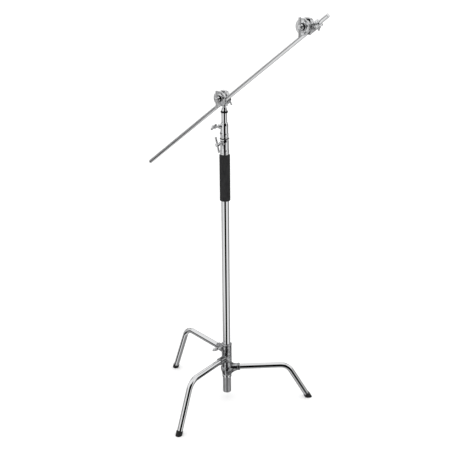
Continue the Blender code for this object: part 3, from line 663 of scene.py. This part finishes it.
# ---------------------------------------------------------------- base
def base():
    piece("base_tube", tube(BASE_TUBE_R, BASE_TUBE_BORE, *BASE_TUBE_Z), STAND)
    low = BASE_TUBE_Z[0]
    piece("base_tube_end_cap", plug(BASE_TUBE_R, BASE_TUBE_BORE - 0.0005, low - 0.004, low - GAP,
                                    low + 0.012, 0.0022), STAND)

    low, high, outer = 0.1125, 0.1260, 0.0222
    screws = (("left", -96.0), ("right", -52.0))
    middle = (low + high) / 2

    def ring(points):
        made = turned(points, [(0, low), (outer, low), (outer, high), (0, high)], 0.0016)
        for _, azimuth in screws:
            made = carve(made, rod(seen_from(points, outwards(azimuth, middle)), 0.0031, 0.015, 0.03),
                         0.0006)
        return carve(made, rod(points, HUB_BORE, 0.10, 0.14), 0.0008)

    piece("retaining_ring", sculpt(ring, (-0.024, -0.024, low - 0.002), (0.024, 0.024, high + 0.002),
                                   0.00045), STAND, sharp=False)
    for side, azimuth in screws:
        piece(f"retaining_screw_{side}", hex_screw(0.0027, BASE_TUBE_R + GAP, outer - 0.0006, 0.0026),
              STAND @ outwards(azimuth, middle), sharp=False)

    height = UPPER_LEG[0]
    hub = [(0, -0.0171), (HUB_R, -0.0171), (HUB_R, 0.0330), (HUB_R + 0.0009, 0.0345),
           (HUB_R + 0.0009, 0.0375), (HUB_R - 0.0022, 0.0400), (0, 0.0400)]
    rib = [(0.010, -0.0160), (0.034, -0.0160), (0.060, -0.0090), (0.060, 0.0), (0.036, 0.0170),
           (0.010, 0.0300)]
    bores = ((HUB_BORE, -0.03, BASE_TUBE_Z[1] + GAP - height), (COLUMN_R + 0.0004, -0.01, 0.06))
    knob_z = 0.0205
    boss = (KNOB_AZIMUTH - UPPER_LEG[1], knob_z, 0.0105, 0.0320, SCREW_HOLE_R)
    casting = leg_casting(hub, rib, bores, boss)
    # The base castings take the rougher chrome whose darker colour is painted reflection
    piece("base_socket_casting", casting, STAND @ shift(z=height) @ spin(UPPER_LEG[1], "Z"), sharp=False,
          look="rough_chrome_painted_dark")
    t_screw("base_knob", STAND @ outwards(KNOB_AZIMUTH, height + knob_z), COLUMN_R, 0.058, 0.056, 125.0)
    leg("upper", UPPER_LEG)

    hub = [(0, -0.0160), (HUB_R, -0.0160), (HUB_R, 0.0165), (0, 0.0165)]
    rib = [(0.010, -0.0155), (0.034, -0.0155), (0.058, -0.0090), (0.058, 0.0), (0.034, 0.0155),
           (0.010, 0.0155)]
    casting = leg_casting(hub, rib, ((HUB_BORE, -0.03, 0.03),))
    piece("middle_leg_casting", casting, STAND @ shift(z=MIDDLE_LEG[0]) @ spin(MIDDLE_LEG[1], "Z"),
          sharp=False, look="rough_chrome_painted_dark")
    leg("middle", MIDDLE_LEG)

    hub = [(0, -0.0335), (0.0215, -0.0335), (0.0285, -0.0080), (0.0275, 0.0020), (HUB_R, 0.0070),
           (HUB_R, 0.0355), (0, 0.0355)]
    rib = [(0.010, -0.0325), (0.021, -0.0325), (0.034, -0.0220), (0.056, -0.0120), (0.056, 0.0),
           (0.036, 0.0170), (0.010, 0.0330)]
    casting = leg_casting(hub, rib, ((HUB_BORE, -0.05, 0.05),))
    piece("lower_leg_casting", casting, STAND @ shift(z=LOWER_LEG[0]) @ spin(LOWER_LEG[1], "Z"),
          sharp=False, look="rough_chrome_painted_dark")
    leg("lower", LOWER_LEG)


# ---------------------------------------------------------------- column
def tube_collar(node, z_range, outer, lower_r, upper_r, step_z, bosses):
    """A clamp collar fixed on one tube, with a boss for each screw that grips the next."""
    low, high = z_range
    outline = [(0, low), (outer, low, 0.0012), (outer, low + 0.0050, 0.0005),
               (outer - 0.0006, low + 0.0056, 0.0005), (outer - 0.0006, low + 0.0068, 0.0005),
               (outer, low + 0.0074, 0.0005), (outer, low + 0.0180, 0.0015),
               (outer - 0.0010, low + 0.0205, 0.0015), (outer - 0.0010, high - 0.0120, 0.004),
               (outer - 0.0020, high - 0.0040, 0.0020), (outer - 0.0036, high, 0.0008), (0, high)]

    def field(points):
        made = turned(points, outline, 0.001)
        for azimuth, z, radius, end, _ in bosses:
            made = blend(made, rod(seen_from(points, outwards(azimuth, z)), radius, 0.008, end, 0.0011),
                         0.0040)
        made = carve(made, rod(points, lower_r + 0.0004, low - 0.01, step_z), 0.0008)
        made = carve(made, rod(points, upper_r + 0.0004, low - 0.02, high + 0.01), 0.0008)
        for azimuth, z, _, end, hole in bosses:
            made = carve(made, rod(seen_from(points, outwards(azimuth, z)), hole, 0.008, end + 0.02),
                         0.0007)
        return made

    shape = sculpt(field, (-0.031, -0.031, low - 0.002), (0.0225, 0.0225, high + 0.002), 0.00050)
    piece(node, shape, STAND, sharp=False)


def foam_grip():
    """A foam sleeve: softly rounded ends and a slightly uneven skin."""
    low, high = GRIP_Z
    outline = [(COLUMN_R + 0.0004, low, 0.0008), (GRIP_R, low, 0.0030)]
    outline += [(GRIP_R, low + (high - low) * step / 60, 0) for step in range(2, 59)]
    outline += [(GRIP_R, high, 0.0030), (COLUMN_R + 0.0004, high, 0.0008)]
    shape = lathe(rounded(outline, 0.001, closed=True, steps=6), 160, closed=True)
    x, y, z = shape.points.T
    angle = np.arctan2(y, x)
    outside = np.clip((np.hypot(x, y) - COLUMN_R - 0.001) / 0.003, 0, 1)
    swell = (np.sin(3 * angle + 40 * z) * np.sin(95 * z + 1.0) + 0.6 * np.sin(5 * angle - 130 * z + 2.0)
             + 0.5 * np.sin(11 * angle + 310 * z) * np.sin(7 * angle - 190 * z))
    radial = 1 + outside * 0.00010 * swell / np.hypot(x, y)
    shape.points[:, 0] *= radial
    shape.points[:, 1] *= radial
    piece("foam_grip", shape, STAND, sharp=False)


def column():
    bore = COLUMN_R - TUBE_WALL
    low, high = COLUMN_Z
    piece("column_tube", tube(COLUMN_R, bore, low, high), STAND)
    piece("column_bottom_plug", plug(COLUMN_R, bore - 0.0005, low - 0.008, low - GAP, low + 0.012),
          STAND)
    foam_grip()
    boss_z, azimuth, boss_end = 1.2520, -128.0, 0.0285
    tube_collar("lower_collar", LOWER_COLLAR_Z, LOWER_COLLAR_R, COLUMN_R, RISER_2_R, high + GAP,
                ((azimuth, boss_z, 0.0095, boss_end, SCREW_HOLE_R),))
    t_screw("lower_collar_handle", STAND @ outwards(azimuth, boss_z), RISER_2_R, 0.0500, 0.068, 15.0)
    top = LOWER_COLLAR_Z[1]
    piece("lower_collar_ring", tube(LOWER_COLLAR_R + 0.0006, RISER_2_R + 0.0005, top + GAP, top + 0.0032,
                                    0.0009), STAND)

    bore = RISER_2_R - TUBE_WALL
    low, high = RISER_2_Z
    piece("riser_2_tube", tube(RISER_2_R, bore, low, high), STAND)
    piece("riser_2_bottom_plug", plug(0.0156, bore - 0.0005, low - 0.012, low - GAP, low + 0.012),
          STAND)
    boss_z, azimuth, boss_end = 1.3240, -160.0, 0.0265
    screw_z, screw_azimuth = 1.2950, -150.0
    tube_collar("upper_collar", UPPER_COLLAR_Z, UPPER_COLLAR_R, RISER_2_R, RISER_3_R, high + GAP,
                ((azimuth, boss_z, 0.0095, boss_end, SCREW_HOLE_R),
                 (screw_azimuth, screw_z, 0.0065, 0.0200, 0.0034)))
    t_screw("upper_collar_handle", STAND @ outwards(azimuth, boss_z), RISER_3_R, 0.0480, 0.066, 120.0)
    piece("upper_collar_set_screw", hex_screw(0.0030, RISER_2_R + GAP, 0.0192, 0.0030),
          STAND @ outwards(screw_azimuth, screw_z), sharp=False)

    bore = RISER_3_R - TUBE_WALL
    low, high = RISER_3_Z
    piece("riser_3_tube", tube(RISER_3_R, bore, low, high), STAND)
    piece("riser_3_bottom_plug", plug(0.0130, bore - 0.0005, low - 0.012, low - GAP, low + 0.012),
          STAND)
    piece("riser_3_top_ring", tube(0.0155, RISER_3_R + 0.0004, high - 0.007, high + 0.001, 0.0012),
          STAND)
    stud = [(0, high - 0.040), (bore - 0.0005, high - 0.040), (bore - 0.0005, high + GAP, 0.0002),
            (0.0124, high + GAP, 0.0004), (0.0124, high + 0.004, 0.0008), (0.0095, high + 0.016, 0.0010),
            (ARM_R, high + 0.018, 0.0010), (ARM_R, high + 0.0800, 0.0012), (0, high + 0.0800)]
    piece("baby_stud", lathe(rounded(stud, 0.0008), 96), STAND)


# ---------------------------------------------------------------- grip heads
def head_casting():
    """The receiver sleeve, the hub on the axle and the toothless back disc, in the head's frame."""
    near, far = FLANGE_N
    axle = shift(x=SLEEVE_TO_AXLE) @ FORWARDS
    flange = [(0, -0.0150), (0.0125, -0.0150, 0.0012), (0.0130, near - 0.0040, 0.003),
              (0.0190, near, 0.003), (DISC_R - 0.0016, near, 0.0010), (DISC_R, near + 0.0016, 0.0008),
              (DISC_R, far, 0.0010), (0, far)]

    def field(points):
        spun = seen_from(points, axle)
        made = turned(spun, flange)
        made = blend(made, rod(points, SLEEVE_R, -SLEEVE_BELOW, SLEEVE_ABOVE, 0.0012), 0.0042)
        made = blend(made, rod(points, SLEEVE_R + 0.0008, -SLEEVE_BELOW, -SLEEVE_BELOW + 0.0050, 0.0010),
                     0.0008)
        screw = spun - np.array((-SLEEVE_TO_AXLE, -0.020, 0))
        made = blend(made, rod(screw, 0.0088, -0.0215, -0.006, 0.0011), 0.0028)
        made = carve(made, rod(points, RECEIVER_BORE, -0.06, 0.06), 0.0012)
        made = carve(made, rod(screw, 0.0036, -0.03, 0), 0.0006)
        return carve(made, rod(spun, AXLE_R + 0.0005, -0.03, 0.03), 0.0006)

    return sculpt(field, (-0.019, -0.023, -0.043), (0.0495, 0.025, 0.0345), 0.00055)


def jaw_plate(face_n, side, boss_height=0.0):
    """A grooved disc on the axle, Z along it; the gripping face looks towards side."""
    back = face_n - side * JAW_THICK
    rim = DISC_R - 0.0030
    outline = [(0, face_n), (DISC_R, face_n, 0.0012), (DISC_R, back, 0.0018)]
    if boss_height:
        sunk, raised = back + side * 0.0008, back - side * boss_height
        outline += [(rim, back, 0.0008), (rim - 0.0008, sunk, 0.0006), (0.0205, sunk, 0.0010),
                    (0.0180, raised, 0.0012), (0, raised)]
    else:
        outline += [(0, back)]

    def field(points):
        made = turned(points, outline)
        for depth, offset, turn in GROOVES:
            across = points[:, 1] if turn == 0 else -points[:, 0]
            groove = (np.abs(across - offset) - depth + (face_n - points[:, 2]) * side) / math.sqrt(2)
            made = carve(made, groove, 0.0009)
        return carve(made, rod(points, AXLE_R + 0.0005, 0, 0.08), 0.0006)

    low, high = sorted((face_n, back - side * boss_height))
    edge = DISC_R + 0.002
    return sculpt(field, (-edge, -edge, low - 0.002), (edge, edge, high + 0.002), 0.00050)


def coil(low, high, wire=0.0006, mean_r=0.0064, turns=2.5, per_turn=40, sides=12):
    """An open spring on Z."""
    steps = int(turns * per_turn)
    rings = []
    angles = np.arange(sides) * math.tau / sides
    for step in range(steps + 1):
        angle = math.tau * turns * step / steps
        out = np.array((math.cos(angle), math.sin(angle), 0.0))
        centre = mean_r * out + np.array((0, 0, low + wire + (high - low - 2 * wire) * step / steps))
        ring = centre + wire * (np.outer(np.cos(angles), (0, 0, 1)) + np.outer(np.sin(angles), out))
        if step == 0:
            rings.append([centre])
        rings.append(ring)
        if step == steps:
            rings.append([centre])
    return skin(rings)


def head_handle(hub, bar_at, bolt_end):
    """The round hub of the clamp handle, bored for the axle and for its bar."""
    outline = [(0, hub), (0.0112, hub, 0.0012), (0.0112, hub + 0.0036, 0.0010),
               (0.0088, bar_at - 0.0058, 0.0030), (0.0088, bar_at + 0.0050, 0.0020),
               (0.0066, bar_at + 0.0080, 0.0020), (0, bar_at + 0.0080)]

    def field(points):
        made = turned(points, outline)
        across = seen_from(points, shift(z=bar_at) @ spin(90, "Y"))
        made = carve(made, rod(across, HANDLE_BAR_R + GAP, -0.02, 0.02), 0.0007)
        return carve(made, rod(points, AXLE_R + 0.0004, hub - 0.002, bolt_end + GAP), 0.0005)

    return sculpt(field, (-0.0128, -0.0128, hub - 0.001), (0.0128, 0.0128, bar_at + 0.0095), 0.00034)


def receiver_screw():
    """The small threaded T-screw that holds a stud in the sleeve."""
    tip = ARM_R + 0.0004
    outline = [(0, 0.0270), (0.0040, 0.0270), (0.0062, 0.0305, 0.0010), (0.0062, 0.0400, 0.0014),
               (0.0048, 0.0415, 0.0008), (0, 0.0415)]

    def field(points):
        thread = np.maximum(helix(points, 0.0035, 0.0010, 0.00055), tip - points[:, 2])
        made = np.minimum(np.maximum(thread, points[:, 2] - 0.030), turned(points, outline))
        made = np.minimum(made, rod(points, 0.0052, 0.0225, 0.0250, 0.0005))
        across = seen_from(points, shift(z=RECEIVER_BAR_AT) @ spin(90, "Y"))
        return carve(made, rod(across, RECEIVER_BAR_R + GAP, -0.02, 0.02), 0.0005)

    return sculpt(field, (-0.0072, -0.0072, tip - 0.001), (0.0072, 0.0072, 0.0427), 0.00024)


def heads():
    washer = OUTER_FACE + JAW_THICK + 0.0020 + GAP
    hub = washer + 0.0020 + GAP
    bar_at, bolt_end = hub + 0.0125, hub + 0.0068
    casting, receiver = head_casting(), receiver_screw()
    inner, outer = jaw_plate(INNER_FACE, +1), jaw_plate(OUTER_FACE, -1, 0.0020)
    handle = head_handle(hub, bar_at, bolt_end)
    bolt = [(0, -0.0165), (0.0086, -0.0165, 0.0003), (0.0086, -0.0153, 0.0003),
            (AXLE_R, -0.0153, 0.0003), (AXLE_R, bolt_end, 0.0008), (0, bolt_end)]
    shank = lathe(rounded(bolt, 0.0005), 64)
    hexagon = [(0, -0.0215), (0.0070, -0.0215), (0.0086, -0.0207), (0.0086, -0.0166), (0, -0.0166)]
    head = lathe(hexagon, 6)
    for name in ("first_head", "second_head"):
        place, jaws = HEADS[name], JAWS[name] @ FORWARDS
        tilt = 90 - ARM_SLOPE if name == "first_head" else 0.0
        piece(f"{name}_body", casting, place, sharp=False)
        screw = place @ shift(z=-0.020) @ spin(-90, "X") @ spin(62, "Z")
        piece(f"{name}_receiver_screw", receiver, screw, sharp=False)
        piece(f"{name}_receiver_bar", cross_bar(0.050, RECEIVER_BAR_R),
              screw @ shift(z=RECEIVER_BAR_AT) @ spin(90, "Y"))
        piece(f"{name}_inner_jaw", inner, jaws, sharp=False)
        piece(f"{name}_outer_jaw", outer, jaws, sharp=False)
        piece(f"{name}_thrust_washer",
              tube(0.0140, AXLE_R + 0.0005, washer, washer + 0.0020, 0.0003, 96), jaws)
        piece(f"{name}_axle_bolt", shank + head, jaws)
        piece(f"{name}_jaw_spring", coil(INNER_FACE + 0.0009, OUTER_FACE - 0.0009), jaws)
        turn = jaws @ spin(tilt, "Z")
        piece(f"{name}_handle_screw", handle, turn, sharp=False)
        piece(f"{name}_handle_bar", cross_bar(0.074, HANDLE_BAR_R),
              turn @ shift(z=bar_at) @ spin(90, "Y"))


def arm():
    low, high = ARM_REACH - ARM_LENGTH + 0.002, ARM_REACH - 0.002
    bore = ARM_R - ARM_WALL
    piece("arm_tube", tube(ARM_R, bore, low, high, 0.0003, 96), ARM)
    for node, at, turn in (("arm_lower_end_plug", low, 0), ("arm_upper_end_plug", high, 180)):
        piece(node, plug(ARM_R, bore - 0.0005, -0.002, -GAP, 0.012, 0.0010),
              ARM @ shift(z=at) @ spin(turn, "X"))


base()
column()
heads()
arm()


# ---------------------------------------------------------------- studio
def studio():
    """White sweep: what the polished steel mirrors is darker towards the camera and the floor."""
    world = bpy.data.worlds.new("studio")
    bpy.context.scene.world = world
    world.use_nodes = True
    tree = world.node_tree
    tree.nodes.clear()

    def node(kind, inputs=None, **settings):
        made = tree.nodes.new(kind)
        for key, value in settings.items():
            setattr(made, key, value)
        for key, value in (inputs or {}).items():
            if isinstance(value, bpy.types.NodeSocket):
                tree.links.new(value, made.inputs[key])
            else:
                made.inputs[key].default_value = value
        return made

    def maths(operation, *values):
        return node("ShaderNodeMath", dict(enumerate(values)), operation=operation).outputs[0]

    def step(value, start, end, low=0.0, high=1.0):
        inputs = {"Value": value, "From Min": start, "From Max": end, "To Min": low, "To Max": high}
        return node("ShaderNodeMapRange", inputs, interpolation_type="SMOOTHSTEP").outputs[0]

    where = node("ShaderNodeTexCoord").outputs["Generated"]
    split = node("ShaderNodeSeparateXYZ", {0: where})
    x, y, z = (split.outputs[i] for i in range(3))
    rise = maths("MULTIPLY", maths("ARCSINE", z), 180 / math.pi)
    heading = maths("MULTIPLY", maths("ARCTAN2", x, maths("MULTIPLY", y, -1)), 180 / math.pi)
    aside = maths("ABSOLUTE", heading)

    def between(value, low, high, soft):
        """1 inside low..high, softly 0 outside."""
        return maths("MULTIPLY", step(value, low - soft, low + soft),
                     step(value, high + soft, high - soft))

    def shade(value, mask, level):
        """Moves value towards level where mask is 1."""
        return maths("ADD", value, maths("MULTIPLY", mask, maths("SUBTRACT", level, value)))

    def patch(rises, toward, level):
        """Shades a patch of the surroundings; each mask is (angle, low, high, softness)."""
        return shade(value, maths("MULTIPLY", between(*rises), between(*toward)), level)

    # Bright walls either side of the camera, greyer ones beside and behind the stand
    value = step(aside, 62, 92, 0.84, 0.50)
    value = shade(value, between(rise, 14, 90, 8), 0.88)
    value = shade(value, between(rise, -90, -36, 6), 0.27)
    # Dark gaps: a black flag either side, the gap below the arm's side, the room behind
    value = patch((rise, -36, 12, 4), (heading, 93, 117, 3), 0.01)
    value = patch((rise, -14, 16, 4), (heading, -101, -80, 3), 0.03)
    value = patch((rise, -66, -27, 3), (heading, -100, -63, 3), 0.01)
    value = patch((rise, -95, -66, 4), (aside, 120, 190, 12), 0.60)
    value = shade(value, between(rise, -95, -76, 3), 0.70)
    value = patch((rise, -80, -28, 4), (heading, -58, -26, 3), 0.85)
    value = patch((rise, 24, 42, 3), (aside, 134, 154, 5), 0.10)
    value = patch((rise, -13, 6, 3), (aside, 150, 190, 6), 0.05)
    # The dark of the room round the camera; above the horizon it leans to the right
    lean = step(rise, -20, -6, 0.0, 20.0)
    width = step(rise, -18, -6, 25.0, 40.0)
    off = maths("ABSOLUTE", maths("SUBTRACT", heading, lean))
    dark = maths("MULTIPLY", step(maths("SUBTRACT", off, width), 3, -3), between(rise, -35, 54, 4))
    value = shade(value, dark, 0.0)
    rays = node("ShaderNodeLightPath")
    grey = node("ShaderNodeCombineColor", {0: value, 1: value, 2: value}).outputs[0]
    mirrored = node("ShaderNodeBackground", {"Color": grey})
    plain = node("ShaderNodeBackground", {"Color": (1, 1, 1, 1), "Strength": 1.30})
    mixed = node("ShaderNodeMixShader", {0: rays.outputs["Is Glossy Ray"], 1: plain.outputs[0],
                                         2: mirrored.outputs[0]})
    node("ShaderNodeOutputWorld", {0: mixed.outputs[0]})


def floor():
    mesh = bpy.data.meshes.new("floor")
    half = 40.0
    corners = [(-half, -half, 0), (half, -half, 0), (half, half, 0), (-half, half, 0)]
    mesh.from_pydata(corners, [], [(0, 1, 2, 3)])
    look = Look("floor", (0.92, 0.92, 0.92), 0.7, 0.0, **{"Specular IOR Level": 0.2})
    look.to("Roughness", look.spread(look.noise((3, 3, 3)), 0.65, 0.75))
    mesh.materials.append(look.material)
    made = bpy.data.objects.new("floor", mesh)
    bpy.context.scene.collection.objects.link(made)
    made.visible_glossy = False


def camera():
    data = bpy.data.cameras.new("camera")
    data.lens, data.sensor_width = LENS, SENSOR
    data.clip_start, data.clip_end = 0.05, 200
    made = bpy.data.objects.new("camera", data)
    bpy.context.scene.collection.objects.link(made)
    axis = Vector((column_x, column_y, 0))
    made.location = axis + Vector(CAMERA_FROM_AXIS)
    target = axis + Vector((CAMERA_FROM_AXIS[0], 0, CAMERA_AIM_Z))
    turn = (target - made.location).to_track_quat("-Z", "Y").to_matrix().to_4x4()
    made.rotation_euler = (turn @ spin(CAMERA_ROLL, "Z")).to_euler()
    bpy.context.scene.camera = made


studio()
floor()
camera()
bpy.context.scene.view_settings.view_transform = "Standard"
